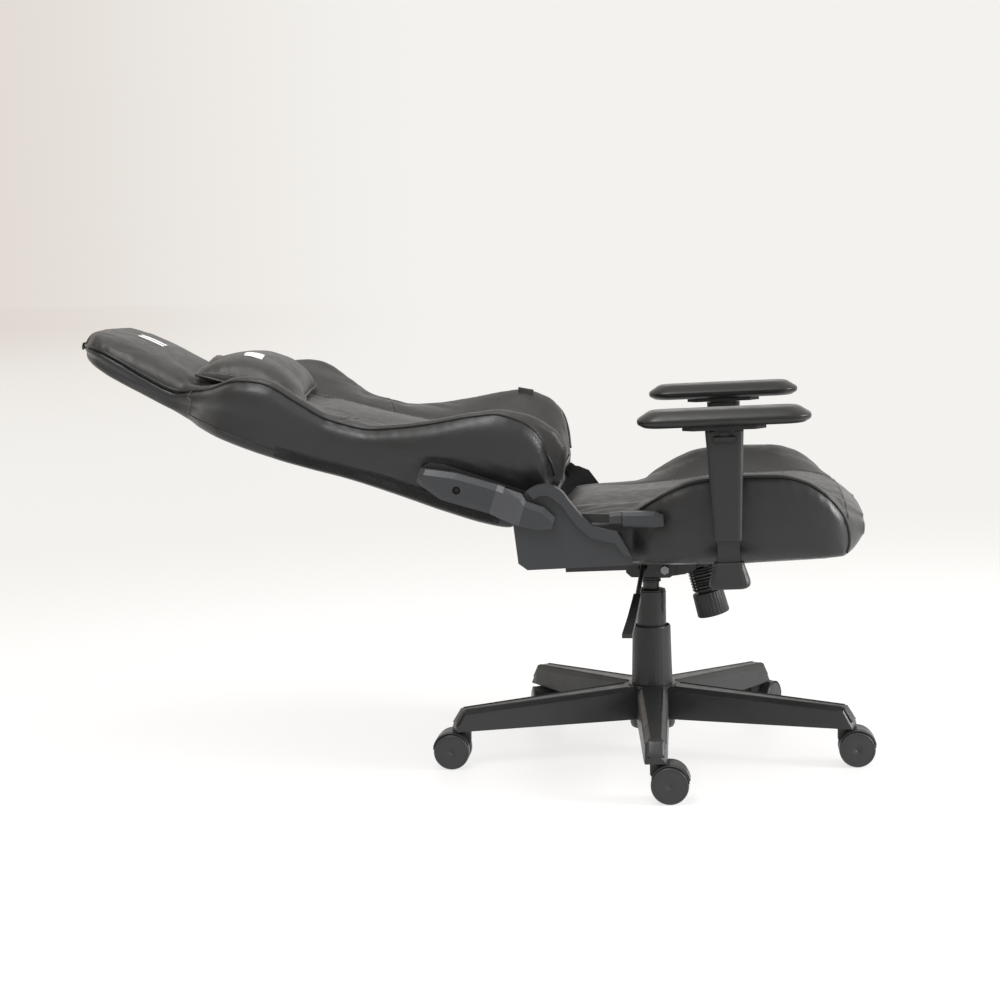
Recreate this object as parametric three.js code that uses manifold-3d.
// A racing-style gaming chair with its backrest reclined: five-spoke base on twin-wheel casters,
// gas lift, rocking tilt mechanism, bucket seat, reclining back with a neck pillow, and
// height-adjustable armrests.
//
// Millimetres, +Z up. The chair faces -Y, and +X is the sitter's left.
// The origin is on the floor, under the middle of the chair's bounding box.
import * as THREE from "three";
import { mergeVertices } from "three/addons/utils/BufferGeometryUtils.js";
import Module from "manifold-3d";

const wasm = await Module();
wasm.setup();

// ---------------------------------------------------------------- driving dimensions

const DEG = Math.PI / 180;
const COLUMN_Y = -284.8; // the swivel axis, seen from the middle of the bounding box
const GAP = 0.4; // between pieces that touch on the real chair

const SPOKES = 5;
const SPOKE_TURN = 2.6 * DEG; // how far the star is turned from facing +X and -X
const SPOKE_TIP = 347; // radius to the end of a spoke
const STEM_RADIUS = 328; // radius from the column to a caster's stem
const SPOKE_FLOOR = 63; // underside of the spokes
const HUB_TOP = 119;

const WHEEL_R = 30;
const WHEEL_SIDES = 24;
const WHEEL_WIDTH = 20;
const AXLE_Z = WHEEL_R * Math.cos(Math.PI / WHEEL_SIDES); // a flat of the tread lies on the floor
const AXLE_R = 4;
const TRAIL = 22; // from a caster's stem to its axle
const CASTER_HEADINGS = [0, 0, 62, -78, 180]; // degrees from -Y, the way each caster trails

const TUBE_R = 25; // the 50 mm column tube of a standard gas lift
const TUBE_TOP = 277;
const CYLINDER_R = 14;

const SPRING_TURNS = 8;
const SPRING_PITCH = 5.1;
const SPRING_WIRE_R = 2.3;

const TILT_Y = -25; // the seat rocks about this shaft, in front of the column
const TILT_Z = 321;
const SEAT_TILT = 1.7 * DEG; // the seat's front stands a little higher than its rear

const HINGE_Y = 160; // the recline hinge, behind the column axis
const HINGE_Z = 447;
const RECLINE = 72 * DEG; // how far the back leans from upright as modelled

const SEAT_FLOOR = 38.3; // underside of the seat cushion, above the tilt shaft
const SEAT_HALF = 262;
const BOARD_HALF = 195; // the plywood board under the seat's foam
const BOARD_LENGTH = 436;
const BOARD_THICK = 6.9;
const BOARD_Y = -70;
const PANEL_HALF = 130; // half the width of the flat centre panel of seat and back

const ARM_X = 292; // from the chair's middle plane to an armrest's middle
const ARM_Y = -107; // armrest post, from the tilt shaft
const PAD_LENGTH = 266;
const PAD_WIDTH = 98;

// Layers of each recliner, as distances from the chair's middle plane.
const LAYER = {
  innerCover: [239.5, 242.5],
  lowerPlate: [243.5, 248.5],
  upperPlate: [249.5, 254.5],
  leverArm: [255.5, 259.5],
  lowerCover: [260.5, 270],
  rim: [269, 281],
  upperCoverPivot: [282, 291],
  upperCoverArm: [262, 283],
};

// ---------------------------------------------------------------- materials

const material = (color, roughness, metalness = 0) =>
  new THREE.MeshStandardMaterial({ color, roughness, metalness });

const LEATHER = material(0x1c1c1e, 0.42);
const NYLON = material(0x151516, 0.5);
const MATTE = material(0x1b1c1e, 0.6);
const SHELL_GREY = material(0x2b2d30, 0.55);
const PAD_SOFT = material(0x18181a, 0.7);
const TREAD = material(0x1d1d1f, 0.6);
const PAINTED_STEEL = material(0x131314, 0.4, 0.6);
const PLYWOOD = material(0x6b4e33, 0.8);
const BARE_STEEL = material(0xb9bbbe, 0.3, 1);
const BEARING_STEEL = material(0x9fa2a6, 0.25, 1);

// ---------------------------------------------------------------- geometry helpers

// Turns the faces round if the closed geometry is inside out.
function facingOut(geometry) {
  const merged = weld(geometry);
  const p = merged.attributes.position;
  const index = merged.index.array;
  const corner = (i) => new THREE.Vector3().fromBufferAttribute(p, index[i]);
  let volume = 0;
  for (let i = 0; i < index.length; i += 3) {
    volume += corner(i).dot(corner(i + 1).cross(corner(i + 2)));
  }
  if (volume < 0) {
    for (let i = 0; i < index.length; i += 3) {
      [index[i + 1], index[i + 2]] = [index[i + 2], index[i + 1]];
    }
  }
  return merged;
}

function weld(geometry) {
  const bare = geometry.clone();
  bare.deleteAttribute("normal");
  bare.deleteAttribute("uv");
  return mergeVertices(bare, 1e-3);
}

// A closed geometry as a manifold-3d solid, and back.
function solid(geometry) {
  const closed = facingOut(geometry);
  return new wasm.Manifold(
    new wasm.Mesh({
      numProp: 3,
      vertProperties: new Float32Array(closed.attributes.position.array),
      triVerts: new Uint32Array(closed.index.array),
    }),
  );
}

function geometryOf(manifold) {
  const mesh = manifold.getMesh();
  const geometry = new THREE.BufferGeometry();
  geometry.setAttribute("position", new THREE.BufferAttribute(mesh.vertProperties, 3));
  geometry.setIndex(new THREE.BufferAttribute(mesh.triVerts, 1));
  geometry.computeVertexNormals();
  return geometry;
}

// The first geometry, joined with some, then cut by others, then joined with the last.
function carve(base, { add = [], cut = [], refill = [] }) {
  let made = solid(base);
  for (const geometry of add) made = made.add(solid(geometry));
  for (const geometry of cut) made = made.subtract(solid(geometry));
  for (const geometry of refill) made = made.add(solid(geometry));
  return geometryOf(made);
}

const shapeOf = (points) => new THREE.Shape(points.map(([a, b]) => new THREE.Vector2(a, b)));

// An outline of [x, y] points, raised from z0 to z1.
function prismZ(points, z0, z1) {
  const raised = new THREE.ExtrudeGeometry(shapeOf(points), { depth: z1 - z0, bevelEnabled: false });
  return raised.translate(0, 0, z0);
}

// An outline of [y, z] points, run from x0 to x1.
function prismX(points, x0, x1) {
  const turn = new THREE.Matrix4().set(0, 0, 1, 0, 1, 0, 0, 0, 0, 1, 0, 0, 0, 0, 0, 1);
  return prismZ(points, Math.min(x0, x1), Math.max(x0, x1)).applyMatrix4(turn);
}

// An outline of [x, z] points, run from y0 to y1.
function prismY(points, y0, y1) {
  return prismZ(points, -y1, -y0).rotateX(Math.PI / 2);
}

const box = (x0, x1, y0, y1, z0, z1) =>
  new THREE.BoxGeometry(Math.abs(x1 - x0), y1 - y0, z1 - z0).translate(
    (x0 + x1) / 2,
    (y0 + y1) / 2,
    (z0 + z1) / 2,
  );

const rodZ = (r, z0, z1, sides = 24, top = r) =>
  new THREE.CylinderGeometry(top, r, z1 - z0, sides)
    .rotateX(Math.PI / 2)
    .translate(0, 0, (z0 + z1) / 2);

const rodX = (r, x0, x1, y, z, sides = 16) =>
  new THREE.CylinderGeometry(r, r, Math.abs(x1 - x0), sides)
    .rotateZ(Math.PI / 2)
    .translate((x0 + x1) / 2, y, z);

// A profile of [radius, z] points turned about the Z axis.
function turned(profile, sides = 24) {
  const points = profile.map(([r, z]) => new THREE.Vector2(r, z));
  const closed = profile[0][0] > 0 ? [...points, points[0].clone()] : points;
  return new THREE.LatheGeometry(closed, sides).rotateX(Math.PI / 2);
}

// Joins closed outlines of the same number of points into one skin with flat ends.
// place(a, b, station) gives the [x, y, z] of an outline's point.
function loft(stations, outlineOf, place) {
  const outlines = stations.map(outlineOf);
  const count = outlines[0].length;
  const positions = outlines.flatMap((outline, i) =>
    outline.flatMap(([a, b]) => place(a, b, stations[i])),
  );
  const index = [];
  for (let i = 0; i + 1 < outlines.length; i++) {
    for (let k = 0; k < count; k++) {
      const a = i * count + k;
      const b = i * count + ((k + 1) % count);
      index.push(a, b, b + count, a, b + count, a + count);
    }
  }
  const lid = (outline) =>
    THREE.ShapeUtils.triangulateShape(outline.map(([a, b]) => new THREE.Vector2(a, b)), []);
  const last = (outlines.length - 1) * count;
  for (const [a, b, c] of lid(outlines[0])) index.push(c, b, a);
  for (const [a, b, c] of lid(outlines[outlines.length - 1])) index.push(a + last, b + last, c + last);
  const geometry = new THREE.BufferGeometry();
  geometry.setAttribute("position", new THREE.Float32BufferAttribute(positions, 3));
  geometry.setIndex(index);
  return facingOut(geometry);
}

// A tube with a many-sided section along a list of points.
function tube(points, radius, sides = 8, steps = points.length * 3, tension = 0.3) {
  const path = new THREE.CatmullRomCurve3(
    points.map((p) => new THREE.Vector3(...p)),
    false,
    "catmullrom",
    tension,
  );
  const ring = Array.from({ length: sides }, (_, k) => [
    radius * Math.cos(((k + 0.5) * 2 * Math.PI) / sides),
    radius * Math.sin(((k + 0.5) * 2 * Math.PI) / sides),
  ]);
  return new THREE.ExtrudeGeometry(shapeOf(ring), { steps, extrudePath: path, bevelEnabled: false });
}

// Points on a circle's arc, in degrees.
function arc(cx, cy, r, from, to, steps) {
  return Array.from({ length: steps + 1 }, (_, k) => {
    const angle = (from + ((to - from) * k) / steps) * DEG;
    return [cx + r * Math.cos(angle), cy + r * Math.sin(angle)];
  });
}

// A rectangle about the origin with its corners rounded in three steps each.
const roundRectangle = (width, length, round) =>
  [[1, -1, 270], [1, 1, 0], [-1, 1, 90], [-1, -1, 180]].flatMap(([a, b, from]) =>
    arc(a * (width / 2 - round), b * (length / 2 - round), round, from, from + 90, 3),
  );

// A rectangle about the origin with its corners cut off.
const cutRectangle = (width, length, cut) => {
  const [w, l] = [width / 2, length / 2];
  return [
    [-w + cut, -l], [w - cut, -l], [w, -l + cut], [w, l - cut],
    [w - cut, l], [-w + cut, l], [-w, l - cut], [-w, -l + cut],
  ];
};

const chair = new THREE.Group();
const frame = new THREE.Group(); // its origin is on the floor, under the column
frame.position.y = COLUMN_Y;
chair.add(frame);

function part(name, geometry, look, group = frame) {
  const mesh = new THREE.Mesh(geometry, look);
  mesh.name = name;
  group.add(mesh);
  return mesh;
}

// ---------------------------------------------------------------- base

function spoke() {
  const stations = [
    { r: 20, half: 28, top: HUB_TOP },
    { r: 331, half: 18.5, top: 98 },
    { r: SPOKE_TIP, half: 17, top: 73 },
  ];
  const section = ({ half, top }) => [
    [-half, SPOKE_FLOOR],
    [half, SPOKE_FLOOR],
    [half - 2, top - 7],
    [half - 9, top],
    [-half + 9, top],
    [-half + 2, top - 7],
  ];
  const pocket = ({ half, top }) => [
    [-half + 5, SPOKE_FLOOR - 1],
    [half - 5, SPOKE_FLOOR - 1],
    [half - 7, top - 9],
    [-half + 7, top - 9],
  ];
  const along = (a, b, { r }) => [a, -r, b];
  const hollow = loft(
    [
      { r: 44, half: 27, top: 117 },
      { r: 296, half: 19.5, top: 99 },
    ],
    pocket,
    along,
  );
  const ribs = [
    [110, 22.5],
    [170, 21],
    [230, 19],
  ].map(([r, half]) => box(-half, half, -r - 1.5, -r + 1.5, SPOKE_FLOOR + 8, 98));
  const socket = rodZ(6, SPOKE_FLOOR - 1, SPOKE_FLOOR + 24, 16).translate(0, -STEM_RADIUS, 0);
  return carve(loft(stations, section, along), { cut: [hollow, socket], refill: ribs });
}

const spokeAngle = (k) => -90 * DEG + SPOKE_TURN + (k * 2 * Math.PI) / SPOKES;

function buildBase() {
  const hub = turned(
    [[0, 45], [36, 45], [38, 50], [38, 108], [41, 110], [41, HUB_TOP], [0, HUB_TOP]],
    32,
  );
  const spokes = Array.from({ length: SPOKES }, (_, k) => spoke().rotateZ(spokeAngle(k)));
  const bore = rodZ(TUBE_R + GAP, 40, HUB_TOP + 1, 32);
  part("base_star", carve(hub, { add: spokes, cut: [bore] }), NYLON);
}

// ---------------------------------------------------------------- casters

// The caster trails along +Y of its own group; its stem is on the group's Z axis.
function casterFrame() {
  const hoodR = WHEEL_R + 1.2;
  const web = prismX(
    [
      ...arc(TRAIL, AXLE_Z, 21, -150, 60, 8),
      ...arc(TRAIL, AXLE_Z, hoodR, 75, 100, 3),
      [9, 62], [-9, 62], [-9, 44],
    ],
    -5.5,
    5.5,
  );
  const fender = prismX(
    [...arc(TRAIL, AXLE_Z, hoodR + 1.3, 12, 128, 9), ...arc(TRAIL, AXLE_Z, hoodR - 0.6, 128, 12, 9)],
    -16,
    16,
  );
  const boss = rodZ(9.5, 58.2, SPOKE_FLOOR - GAP, 16);
  const stem = rodZ(5.5, 50, SPOKE_FLOOR + 22, 16);
  const axle = rodX(AXLE_R, -25, 25, TRAIL, AXLE_Z, 12);
  return carve(web, { add: [fender, boss, stem, axle] });
}

function casterWheel(side) {
  const inner = 6.3;
  const outer = inner + WHEEL_WIDTH;
  const profile = [
    [AXLE_R + GAP, inner], [26, inner], [26, inner + 1], [WHEEL_R - 1, inner + 1],
    [WHEEL_R, inner + 3], [WHEEL_R, outer - 5], [28, outer - 1.5], [26.5, outer],
    [AXLE_R + GAP, outer],
  ];
  const wheel = turned(profile, WHEEL_SIDES)
    .rotateZ(Math.PI / WHEEL_SIDES) // a flat, not an edge, faces down
    .rotateY(Math.PI / 2);
  if (side < 0) wheel.rotateY(Math.PI);
  return wheel.translate(0, TRAIL, AXLE_Z);
}

function buildCasters() {
  for (let k = 0; k < SPOKES; k++) {
    const caster = new THREE.Group();
    const angle = spokeAngle(k);
    caster.position.set(STEM_RADIUS * Math.sin(angle), -STEM_RADIUS * Math.cos(angle), 0);
    caster.rotation.z = Math.PI + CASTER_HEADINGS[k] * DEG;
    frame.add(caster);
    const name = `caster_${k + 1}`;
    part(`${name}_frame`, casterFrame(), NYLON, caster);
    part(`${name}_wheel_a`, casterWheel(1), TREAD, caster);
    part(`${name}_wheel_b`, casterWheel(-1), TREAD, caster);
  }
}

// ---------------------------------------------------------------- gas lift

function buildGasLift() {
  part(
    "column_tube",
    turned([
      [5.6, 50], [TUBE_R, 50], [TUBE_R, TUBE_TOP], [TUBE_R - 2.5, TUBE_TOP],
      [TUBE_R - 2.5, 56], [5.6, 56],
    ], 32),
    PAINTED_STEEL,
  );
  part(
    "column_sleeve",
    turned([
      [32, HUB_TOP + GAP], [34.5, HUB_TOP + GAP], [32.2, 217], [31.4, 219], [29.6, 219],
      [29.6, 216],
    ], 32),
    MATTE,
  );
  part(
    "guide_bush",
    turned([
      [CYLINDER_R + GAP, 205], [22, 205], [22, TUBE_TOP + GAP], [24, TUBE_TOP + GAP],
      [24, TUBE_TOP + 3], [19, TUBE_TOP + 4.5], [CYLINDER_R + GAP, TUBE_TOP + 4.5],
    ], 24),
    MATTE,
  );
  part("piston_rod", turned([
    [0, 46], [7.5, 46], [7.5, 49], [5, 49], [5, 176], [10.4, 176], [10.4, 184], [0, 184],
  ], 16), BARE_STEEL);
  part("thrust_bearing", turned([
    [5.6, 57], [15, 57], [15, 59], [13.5, 60], [15, 61], [15, 63], [5.6, 63],
  ], 20), BEARING_STEEL);
  part("gas_cylinder", turned([
    [5.5, 86], [CYLINDER_R, 86], [CYLINDER_R, 300], [13.2, 336], [4, 336], [4, 340], [0, 340],
    [0, 290], [11, 290], [11, 92], [5.5, 92],
  ], 24), PAINTED_STEEL);
}

// ---------------------------------------------------------------- tilt mechanism

const TENSION = new THREE.Group(); // its Z axis is the tension bolt's
TENSION.position.set(0, -82, 325);
TENSION.rotation.x = -15 * DEG;
frame.add(TENSION);

function buildMechanism() {
  const wall = [
    [40, 329], [40, 315], [31, 307], [-22, 307], [-58, 312], [-76, 320], [-76, 345], [-32, 345],
  ];
  const inside = [
    [60, 329], [37, 317], [30, 310], [-22, 310], [-57, 315], [-73, 322], [-73, 360], [60, 360],
  ];
  const lip = box(-31, 31, -30, 22, -3.5, 0);
  lip.rotateX(-15 * DEG).translate(0, -82, 325);
  const socket = turned([
    [0, 293], [16, 293], [17, 294], [17, 296], [15.5, 297], [17, 298], [17, 300], [15.5, 301],
    [19, 303], [23, 308], [23, 333], [0, 333],
  ], 28);
  const tilted = (geometry) => geometry.rotateX(-15 * DEG).translate(0, -82, 325);
  const bolt = tilted(rodZ(5 + GAP, -20, 20, 16));
  const boltHead = tilted(rodZ(10, 0.2, 24, 16));
  const housing = carve(
    carve(prismX(wall, -46, 46), { cut: [prismX(inside, -43, 43)] }),
    {
      add: [socket, lip],
      cut: [
        rodZ(CYLINDER_R + GAP, 280, 345, 24),
        rodX(5 + GAP, -60, 60, TILT_Y, TILT_Z, 16),
        rodX(8, -50, -40, 12, 326, 12),
        bolt,
        boltHead,
      ],
    },
  );
  part("mech_housing", housing, PAINTED_STEEL);

  const head = rodX(7.5, -63, -57, TILT_Y, TILT_Z, 6);
  const nut = rodX(7.5, 57, 63, TILT_Y, TILT_Z, 6);
  part("tilt_shaft", carve(rodX(5, -58, 58, TILT_Y, TILT_Z), { add: [head, nut] }), BARE_STEEL);

  const coil = Array.from({ length: SPRING_TURNS * 10 + 1 }, (_, k) => {
    const angle = (k / 10) * 2 * Math.PI;
    return [22 * Math.cos(angle), 22 * Math.sin(angle), -6.6 - (k / 10) * SPRING_PITCH];
  });
  const wire = tube(coil, SPRING_WIRE_R, 6, SPRING_TURNS * 12, 0.5);
  part("tension_spring", wire, PAINTED_STEEL, TENSION);

  const knob = turned([
    [0, -91.5], [25.5, -91.5], [27.5, -89], [26.4, -52], [24.6, -50], [16.5, -50], [16.5, -9], [5, -9],
    [5, 3], [8.5, 3], [8.5, 8], [0, 8],
  ], 28);
  part("tension_knob", knob, MATTE, TENSION);

  part(
    "lift_lever",
    tube([[-27, 12, 331], [-46, 12, 326], [-110, 14, 311], [-176, 17, 294]], 4, 8, 10),
    PAINTED_STEEL,
  );
  const blade = ({ half, thick }) => [[-half, -thick], [half, -thick], [half, thick], [-half, thick]];
  const paddle = loft(
    [
      { at: [-172, 16.5, 295], half: 6, thick: 6 },
      { at: [-190, 18, 289], half: 6, thick: 6 },
      { at: [-240, 23, 270], half: 7, thick: 4.5 },
      { at: [-284, 29, 252], half: 8, thick: 3.5 },
    ],
    blade,
    (a, b, { at }) => [at[0] - 0.35 * b, at[1] + a, at[2] + b],
  );
  const sleeveHole = tube([[-150, 16, 301], [-176.4, 17, 293.9]], 4 + GAP, 8, 3);
  part("lift_paddle", carve(paddle, { cut: [sleeveHole] }), MATTE);
}

// ---------------------------------------------------------------- seat

// Everything that rocks with the seat, measured from the tilt shaft with the seat level.
const seat = new THREE.Group();
seat.position.set(0, TILT_Y, TILT_Z);
seat.rotation.x = -SEAT_TILT;
frame.add(seat);

// Half a cushion's outline, mirrored to a whole one. The half runs from the middle of the
// underside, out round the side, and back over the crest to the middle of the panel.
function mirrored(half) {
  const left = half.filter(([x]) => x > 0).map(([x, z]) => [-x, z]);
  return [...half, ...left.reverse()];
}

// The seat cushion from its rear edge to its nose: half width, underside, height of the
// centre panel and height of the side bolster's crest.
const SEAT_STATIONS = [
  { y: 166, half: 222, floor: 52, panel: 110, crest: 106 },
  { y: 156, half: 234, floor: SEAT_FLOOR, panel: 121, crest: 115 },
  { y: 110, half: 238, floor: SEAT_FLOOR, panel: 124, crest: 116 },
  { y: 42, half: 238, floor: SEAT_FLOOR, panel: 124, crest: 121 },
  { y: 18, half: 252, floor: SEAT_FLOOR, panel: 126, crest: 137 },
  { y: -25, half: 261, floor: SEAT_FLOOR, panel: 129, crest: 160 },
  { y: -60, half: SEAT_HALF, floor: SEAT_FLOOR, panel: 132, crest: 172 },
  { y: -110, half: SEAT_HALF, floor: SEAT_FLOOR, panel: 136, crest: 176 },
  { y: -190, half: SEAT_HALF, floor: SEAT_FLOOR, panel: 136, crest: 174 },
  { y: -225, half: 260, floor: SEAT_FLOOR, panel: 135, crest: 163 },
  { y: -256, half: 256, floor: SEAT_FLOOR, panel: 131, crest: 142 },
  { y: -284, half: 246, floor: SEAT_FLOOR, panel: 122, crest: 115 },
  { y: -304, half: 226, floor: 38.8, panel: 108, crest: 96 },
  { y: -319, half: 196, floor: 44, panel: 92, crest: 82 },
  { y: -326, half: 154, floor: 54, panel: 78, crest: 73 },
];

function seatOutline({ half, floor, panel, crest }) {
  const rise = crest - floor;
  return mirrored([
    [0, floor],
    [half - 14, floor],
    [half - 2, floor + 0.12 * rise],
    [half, floor + 0.45 * rise],
    [half - 5, crest - 0.14 * rise],
    [half - 22, crest],
    [half - 44, crest],
    [Math.min(PANEL_HALF + 22, half - 60), (panel + crest) / 2 - 2],
    [Math.min(PANEL_HALF, half - 76), panel],
    [0, panel],
  ]);
}

function buildSeat() {
  const cushion = loft(SEAT_STATIONS, seatOutline, (a, b, { y }) => [a, y, b]);
  part("seat_cushion", cushion, LEATHER, seat);

  const board = prismZ(cutRectangle(2 * BOARD_HALF, BOARD_LENGTH, 30), 31, 31 + BOARD_THICK);
  board.translate(0, BOARD_Y, 0);
  part("seat_board", board, PLYWOOD, seat);

  const flange = (x) => carve(prismX([[-24, 29], [-16, -8], [-8, -14], [8, -14], [16, -8], [34, 29]], x, x + 3), {
    cut: [rodX(5 + GAP, x - 1, x + 4, 0, 0, 16)],
  });
  const plate = carve(box(-90, 90, -95, 100, 27.5, 30.6), {
    add: [flange(49.5), flange(-52.5)],
    cut: [rodZ(15, 20, 35, 20).translate(0, -TILT_Y, 0)],
  });
  part("mech_plate", plate, PAINTED_STEEL, seat);
}

// ---------------------------------------------------------------- recliner

// The recline hinge, from the tilt shaft in the seat's own frame.
const hingeInSeat = new THREE.Vector3(0, HINGE_Y - TILT_Y, HINGE_Z - TILT_Z).applyAxisAngle(
  new THREE.Vector3(1, 0, 0),
  SEAT_TILT,
);
const [HY, HZ] = [hingeInSeat.y, hingeInSeat.z];

// The back's own frame at the hinge: +Z runs up the back and -Y out of its front.
const back = new THREE.Group();
back.position.set(0, HINGE_Y, HINGE_Z);
back.rotation.x = -RECLINE;
frame.add(back);

// The raised S-shaped rim of a lower side cover, from behind the hinge to its front foot.
const RIM_OUTER = [
  ...arc(HY - 4, HZ + 3, 41, 50, 155, 8),
  [HY - 50, HZ + 8], [HY - 64, HZ - 10], [HY - 82, HZ - 27], [HY - 104, HZ - 33], [HY - 117, HZ - 35],
  [HY - 138, HZ - 75],
];
const RIM_INNER = [
  [HY - 126, HZ - 72], [HY - 112, HZ - 52], [HY - 101, HZ - 50], [HY - 77, HZ - 43], [HY - 58, HZ - 27],
  [HY - 43, HZ - 7], [HY - 31, HZ + 12],
  ...arc(HY - 4, HZ + 3, 24, 150, 50, 7),
];
const COVER_OUTLINE = [
  ...RIM_OUTER,
  [HY - 138, 42.5], [HY + 27, 40], [HY + 41, 51], [HY + 46, 110], [HY + 34, HZ + 22],
];

// The sitter's left has no lever, and a lower cover without the rim.
const PLAIN_COVER_OUTLINE = [
  [HY + 40, 55], [HY + 38, 100], ...arc(HY, HZ - 12, 27, 10, 100, 5),
  [HY - 44, HZ], [HY - 64, HZ - 28], [HY - 84, HZ - 50], [HY - 128, HZ - 58], [HY - 138, 44], [HY + 27, 42],
];

// The front slope of the inner covers, from behind the hinge down to the seat.
const INNER_SLOPE = [[HY - 25, HZ + 17], [HY - 43, HZ + 9], [HY - 61, HZ - 17]];

// One side's recliner. side is -1 on the sitter's right and 1 on the left.
function buildRecliner(side, label) {
  const layer = ([from, to]) => [side * from, side * to];
  const plateHole = (name, r) => {
    const [x0, x1] = layer(LAYER[name]);
    return rodX(r, x0 - side, x1 + side, HY, HZ, 16);
  };

  const lower = prismX(
    [[52, 31.5], [150, 31.5], [150, 55], [HY + 26, 78], [HY + 24, HZ + 10],
      ...arc(HY, HZ, 26, 25, 165, 6), [HY - 40, HZ - 30], [95, 75], [52, 60]],
    ...layer(LAYER.lowerPlate),
  );
  const footParts = [
    box(side * 150, side * 220, 60, 146, 27.4, 30.5),
    box(side * 216, side * 220, 60, 146, 28, 37.5),
    box(side * 216, side * 246, 60, 146, 34.4, 37.5),
  ];
  part(
    `recliner_lower_${label}`,
    carve(lower, { add: footParts, cut: [plateHole("lowerPlate", 5 + GAP)] }),
    PAINTED_STEEL,
    seat,
  );

  const inner = prismX(
    [[84, 50], [HY + 28, 50], ...arc(HY, HZ - 5, 26, 10, 110, 6), ...INNER_SLOPE, [84, HZ - 58]],
    ...layer(LAYER.innerCover),
  );
  part(
    `inner_cover_${label}`,
    carve(inner, { cut: [plateHole("innerCover", 6.5)] }),
    NYLON,
    seat,
  );

  const [shellIn, shellOut] = LAYER.lowerCover;
  const leverSide = side < 0;
  const outline = leverSide ? COVER_OUTLINE : PLAIN_COVER_OUTLINE;
  const shell = prismX(outline, side * shellIn, side * shellOut);
  const middle = [HY - 40, 84];
  const pocket = outline.map(([y, z]) => [
    middle[0] + (y - middle[0]) * 0.92,
    middle[1] + (z - middle[1]) * 0.92,
  ]);
  const hollow = prismX(pocket, side * (shellIn - 1), side * (shellOut - 3.5));
  const rim = prismX([...RIM_OUTER, ...RIM_INNER], ...layer(LAYER.rim));
  part(
    `lower_cover_${label}`,
    carve(shell, { add: leverSide ? [rim] : [], cut: [hollow] }),
    SHELL_GREY,
    seat,
  );

  const upper = prismX(
    [...arc(0, 0, 25, 180, 360, 8), [25, 40], [28, 190], [8, 204], [-26, 196], [-30, 60]].map(
      ([a, b]) => [-a * 0.86, b],
    ),
    ...layer(LAYER.upperPlate),
  );
  const upperHole = rodX(5 + GAP, side * 248, side * 256, 0, 0, 16);
  part(`recliner_upper_${label}`, carve(upper, { cut: [upperHole] }), PAINTED_STEEL, back);

  part(`upper_cover_${label}`, upperCover(side), SHELL_GREY, back);
}

// The bevelled cover along the foot of the back. Its pivot end laps over the lower cover.
// Its outline is [distance up the back, distance out of the back's front].
function upperCover(side) {
  const [PIVOT_IN, PIVOT_OUT] = LAYER.upperCoverPivot;
  const [ARM_IN, ARM_OUT] = LAYER.upperCoverArm;
  const outline = [
    { u: -23, low: -19, high: 0, out: PIVOT_OUT, in: PIVOT_IN },
    { u: -2, low: -28, high: 10, out: PIVOT_OUT, in: PIVOT_IN },
    { u: 28, low: -30, high: 11, out: PIVOT_OUT, in: PIVOT_IN },
    { u: 38, low: -30, high: 20, out: PIVOT_OUT, in: PIVOT_IN },
    { u: 66, low: -27.5, high: 20.7, out: ARM_OUT + 2.4, in: PIVOT_IN },
    { u: 67, low: -27.5, high: 20.7, out: ARM_OUT + 2.2, in: ARM_IN },
    { u: 78, low: -26.5, high: 21, out: ARM_OUT, in: ARM_IN },
    { u: 145, low: -28.5, high: 19, out: ARM_OUT, in: ARM_IN },
    { u: 158, low: -28.5, high: 17, out: ARM_OUT, in: ARM_IN },
    { u: 194, low: -17, high: 10.5, out: ARM_OUT - 1, in: ARM_IN },
    { u: 203, low: -14, high: 8.5, out: ARM_OUT - 9, in: ARM_IN },
  ];
  const bevel = 6;
  const section = ({ low, high, out, in: inner }) => {
    const step = Math.min(bevel, (out - inner) * 0.6);
    return [
      [inner, low], [out - step, low], [out, low + 8], [out, high - 9], [out - step, high], [inner, high],
    ];
  };
  const arm = loft(outline, section, (a, b, { u }) => [side * a, -b, u]);
  const screwHole = rodX(6.5, side * 276, side * 292, 6.5, 137.5, 16);
  return carve(arm, { cut: [screwHole] });
}

function buildReclineLever() {
  part("recline_rod", rodX(5, -262, 248, HY, HZ, 12), BARE_STEEL, seat);
  const [x0, x1] = LAYER.leverArm;
  const arm = prismX(
    [
      ...arc(HY, HZ, 14, -60, 100, 6), [HY - 60, HZ - 6], [88, HZ - 8], [34, 121],
      [34, 111], [88, 109], [HY - 60, HZ - 20],
    ],
    -x0,
    -x1,
  );
  const rodHole = rodX(5 + GAP, -x0 + 1, -x1 - 1, HY, HZ, 12);
  part("recline_lever", carve(arm, { cut: [rodHole] }), PAINTED_STEEL, seat);

  const section = ({ low, high, out }) => [
    [-260.5, low], [-260.5, high], [-out + 7, high], [-out, high - 5], [-out, low + 3], [-out + 3, low],
  ];
  const grip = loft(
    [
      { y: 76, low: 107, high: 126, out: 276 },
      { y: 57, low: 107, high: 127, out: 278 },
      { y: 55, low: 105, high: 127, out: 284 },
      { y: 6, low: 102, high: 126, out: 284 },
      { y: -8, low: 103, high: 119, out: 282 },
    ],
    section,
    (a, b, { y }) => [a, y, b],
  );
  part("recline_handle", grip, SHELL_GREY, seat);
}

// ---------------------------------------------------------------- back

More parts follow.
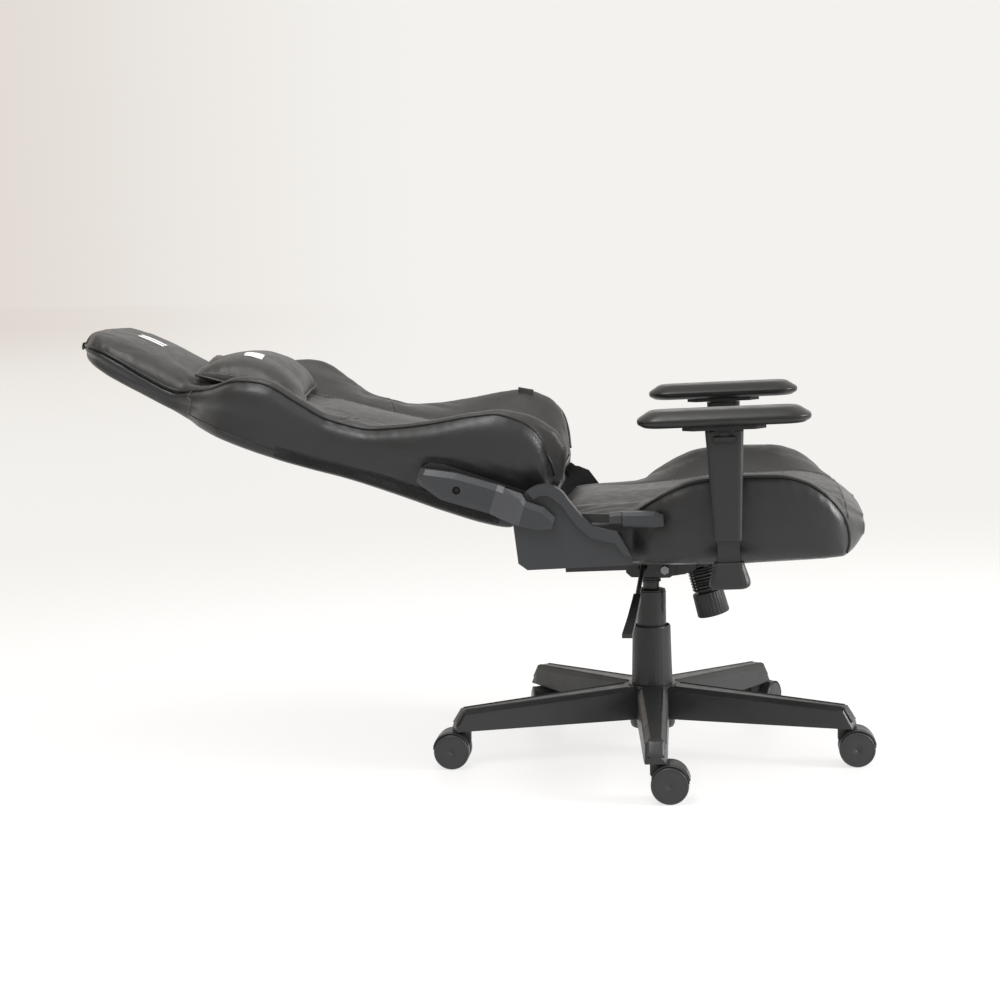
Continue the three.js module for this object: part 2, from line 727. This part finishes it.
// The back cushion from its foot to the top of the head: distance up the back, half width
// beside the brackets and at the wings, rear face, centre panel and wing crest, the last
// three measured out of the back's front from the hinge.
const BACK_STATIONS = [
  { u: 6, low: 226, half: 232, rear: 30, panel: 42, wing: 50 },
  { u: 22, low: 236, half: 244, rear: -6, panel: 52, wing: 86 },
  { u: 42, low: 238, half: 254, rear: -46, panel: 52, wing: 111 },
  { u: 70, low: 238, half: 261, rear: -51, panel: 50, wing: 123 },
  { u: 105, low: 238, half: 264, rear: -53, panel: 48, wing: 125 },
  { u: 150, low: 238, half: 264, rear: -54, panel: 45, wing: 109 },
  { u: 205, low: 238, half: 261, rear: -52, panel: 41, wing: 81 },
  { u: 260, low: 242, half: 254, rear: -50, panel: 36, wing: 55 },
  { u: 320, low: 240, half: 248, rear: -51, panel: 31, wing: 36 },
  { u: 370, low: 242, half: 249, rear: -53, panel: 28, wing: 34 },
  { u: 425, low: 250, half: 259, rear: -54, panel: 25, wing: 47 },
  { u: 480, low: 258, half: 269, rear: -52, panel: 22, wing: 61 },
  { u: 528, low: 252, half: 264, rear: -49, panel: 17, wing: 50 },
  { u: 568, low: 218, half: 232, rear: -47, panel: 12, wing: 24 },
  { u: 604, low: 164, half: 172, rear: -46, panel: 9, wing: 7 },
  { u: 640, low: 142, half: 148, rear: -43, panel: 13, wing: 5 },
  { u: 700, low: 142, half: 150, rear: -33, panel: 23, wing: 19 },
  { u: 760, low: 142, half: 151, rear: -23, panel: 29, wing: 26 },
  { u: 775, low: 136, half: 147, rear: -16, panel: 32, wing: 30 },
  { u: 797, low: 120, half: 133, rear: -12, panel: 31, wing: 28 },
  { u: 811, low: 94, half: 110, rear: -7, panel: 27, wing: 25 },
  { u: 820, low: 60, half: 76, rear: 1, panel: 19, wing: 18 },
];

function backOutline({ low, half, rear, panel, wing }) {
  const shoulder = Math.min(24, rear + 0.55 * (wing - rear));
  const panelHalf = Math.min(PANEL_HALF, 0.5 * half);
  const crestHalf = half - Math.min(24, 0.14 * half);
  return mirrored([
    [0, rear],
    [low - Math.min(20, 0.3 * low), rear],
    [low, rear + 0.25 * (shoulder - rear)],
    [low, shoulder],
    [half, shoulder + 0.3 * (wing - shoulder)],
    [half - 2, shoulder + 0.8 * (wing - shoulder)],
    [crestHalf, wing],
    [crestHalf - Math.min(18, 0.1 * half), wing - 1],
    [panelHalf + 0.3 * (crestHalf - panelHalf), panel + 0.35 * (wing - panel)],
    [panelHalf, panel],
    [0, panel],
  ]);
}

// The bent tube inside the back cushion, as points [x, out of the front, up the back].
const BACK_TUBE = [
  [-214, 34], [-214, 70], [-208, 300], [-200, 480], [-150, 560], [-90, 600], [90, 600], [150, 560],
  [200, 480], [208, 300], [214, 70], [214, 34],
].map(([x, u]) => [x, 22, u]);

function buildBack() {
  const place = (a, b, { u }) => [a, -b, u];
  const skin = loft(BACK_STATIONS, backOutline, place);
  const frameTube = (radius) => tube(BACK_TUBE, radius, 8, 34, 0.3);
  const mouths = [-214, 214].map((x) => rodZ(10.4, -30, 40, 16).translate(x, -22, 0));
  part("back_frame", frameTube(9), PAINTED_STEEL, back);
  part("back_cushion", carve(skin, { cut: [frameTube(10), ...mouths] }), LEATHER, back);

  const pillow = loft(
    [
      { u: 443, half: 112, low: 26.6, high: 32 },
      { u: 455, half: 132, low: 26.6, high: 47 },
      { u: 478, half: 142, low: 26.2, high: 60 },
      { u: 506, half: 144, low: 24.2, high: 72 },
      { u: 536, half: 144, low: 20.6, high: 76 },
      { u: 566, half: 142, low: 17.1, high: 70 },
      { u: 594, half: 136, low: 15.1, high: 55 },
      { u: 614, half: 124, low: 14.1, high: 33 },
      { u: 624, half: 112, low: 14.6, high: 21 },
    ],
    ({ half, low, high }) => [
      [-half, (low + high) / 2 - 4], [-half + 16, low], [half - 16, low], [half, (low + high) / 2 - 4],
      [half - 14, high - 0.25 * (high - low)], [half - 50, high], [-half + 50, high],
      [-half + 14, high - 0.25 * (high - low)],
    ],
    place,
  );
  part("neck_pillow", pillow, LEATHER, back);
}

// ---------------------------------------------------------------- armrests

// One armrest, in a group whose Z axis is the post's. side is -1 on the right, 1 on the left.
function buildArmrest(side, label) {
  const arm = new THREE.Group();
  arm.position.set(side * ARM_X, ARM_Y, 0);
  seat.add(arm);

  const inward = -side * (ARM_X - 95);
  const outward = side * 8;
  const barOutline = (grow) => [
    [inward, 22.2 - grow], [outward + side * grow, 22.2 - grow], [outward + side * grow, 205],
    [-outward - side * grow, 205], [-outward - side * grow, 30.4 + grow], [inward, 30.4 + grow],
  ];
  part(`arm_bracket_${label}`, prismY(barOutline(0), -17, 17), PAINTED_STEEL, arm);

  const rectangle = ({ wide, long, round }) => roundRectangle(wide, long, round);
  const standing = (a, b, { z }) => [a, b, z];
  const boot = loft(
    [
      { z: 5, wide: 33, long: 46, round: 8 },
      { z: 6.2, wide: 39, long: 54, round: 11 },
      { z: 9, wide: 43, long: 61, round: 12 },
      { z: 13, wide: 44.5, long: 63.5, round: 12 },
      { z: 17, wide: 44, long: 62.5, round: 12 },
      { z: 36, wide: 34.5, long: 50, round: 9 },
      { z: 42, wide: 31.5, long: 47, round: 8 },
      { z: 44, wide: 31.5, long: 47, round: 8 },
      { z: 45.5, wide: 30, long: 45, round: 7 },
    ],
    rectangle,
    standing,
  );
  part(
    `arm_boot_${label}`,
    carve(boot, { cut: [prismY(barOutline(GAP), -17 - GAP, 17 + GAP)] }),
    MATTE,
    arm,
  );

  const sleeve = loft(
    [
      { z: 79, wide: 25, long: 39, round: 6 },
      { z: 81, wide: 27.4, long: 42, round: 7 },
      { z: 86, wide: 28, long: 43, round: 7 },
      { z: 232, wide: 34, long: 57, round: 8 },
      { z: 249, wide: 34, long: 59, round: 8 },
    ],
    rectangle,
    standing,
  );
  const bore = box(-8.5, 8.5, -17.5, 17.5, 70, 241);
  part(`arm_sleeve_${label}`, carve(sleeve, { cut: [bore] }), MATTE, arm);

  const face = side * 17.5;
  const stalk = box(face, face + side * 3.5, -6.5, 6.5, 238, 248.5);
  const thumb = prismY(
    [[face + side * 0.6, 243], [face + side * 9, 241.5], [face + side * 10, 236], [face + side * 4, 231], [face + side * 0.6, 231]],
    -16,
    16,
  );
  part(`arm_trigger_${label}`, carve(stalk, { add: [thumb] }), MATTE, arm);

  const turntable = rodZ(23, 249 + GAP, 253.2, 24);
  const mount = prismZ(cutRectangle(66, 128, 16), 252.8, 258.5);
  part(`pad_mount_${label}`, carve(mount, { add: [turntable] }), MATTE, arm);

  const inset = ({ by, cut }) => cutRectangle(PAD_WIDTH - 2 * by, PAD_LENGTH - 2 * by, cut);
  const pad = loft(
    [
      { z: 258.5 + GAP, by: 10, cut: 18 },
      { z: 265, by: 1, cut: 20 },
      { z: 271, by: 0, cut: 20 },
      { z: 283, by: 17, cut: 14 },
      { z: 285, by: 21, cut: 12 },
    ],
    inset,
    standing,
  );
  part(`arm_pad_${label}`, pad, PAD_SOFT, arm);
}

buildBase();
buildCasters();
buildGasLift();
buildMechanism();
buildSeat();
for (const [side, label] of [[-1, "right"], [1, "left"]]) {
  buildRecliner(side, label);
  buildArmrest(side, label);
}
buildReclineLever();
buildBack();

export default chair;
